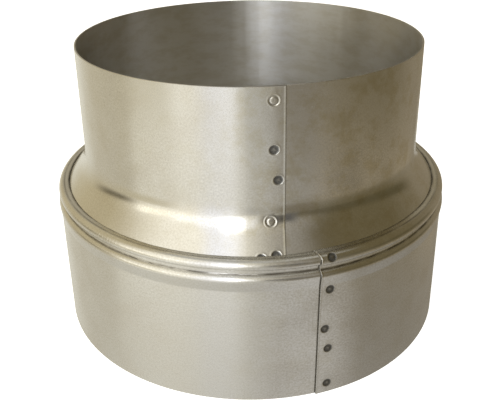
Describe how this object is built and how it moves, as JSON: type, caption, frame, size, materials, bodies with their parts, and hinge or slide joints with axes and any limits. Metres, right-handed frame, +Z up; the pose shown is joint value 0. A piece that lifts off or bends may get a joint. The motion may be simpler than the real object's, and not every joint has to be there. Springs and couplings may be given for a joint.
{
  "type": "stove pipe increaser",
  "caption": "Round sheet-steel flue adaptor: a narrow spigot collar flares into a wide socket collar at a rolled seam.",
  "frame": {"origin": "centre of the wide collar's lower rim, on the floor it stands on", "axes": "+Z up the flue's axis towards the narrow end, -Y the front where both lap seams show, +X to the right"},
  "size_m": [0.1526, 0.1526, 0.1078],
  "materials": {
    "aluminised_sheet": "satin hot-dip aluminised sheet steel"
  },
  "bodies": {
    "root": {"upper_collar": "aluminised_sheet", "lower_collar": "aluminised_sheet"}
  },
  "joints": []
}
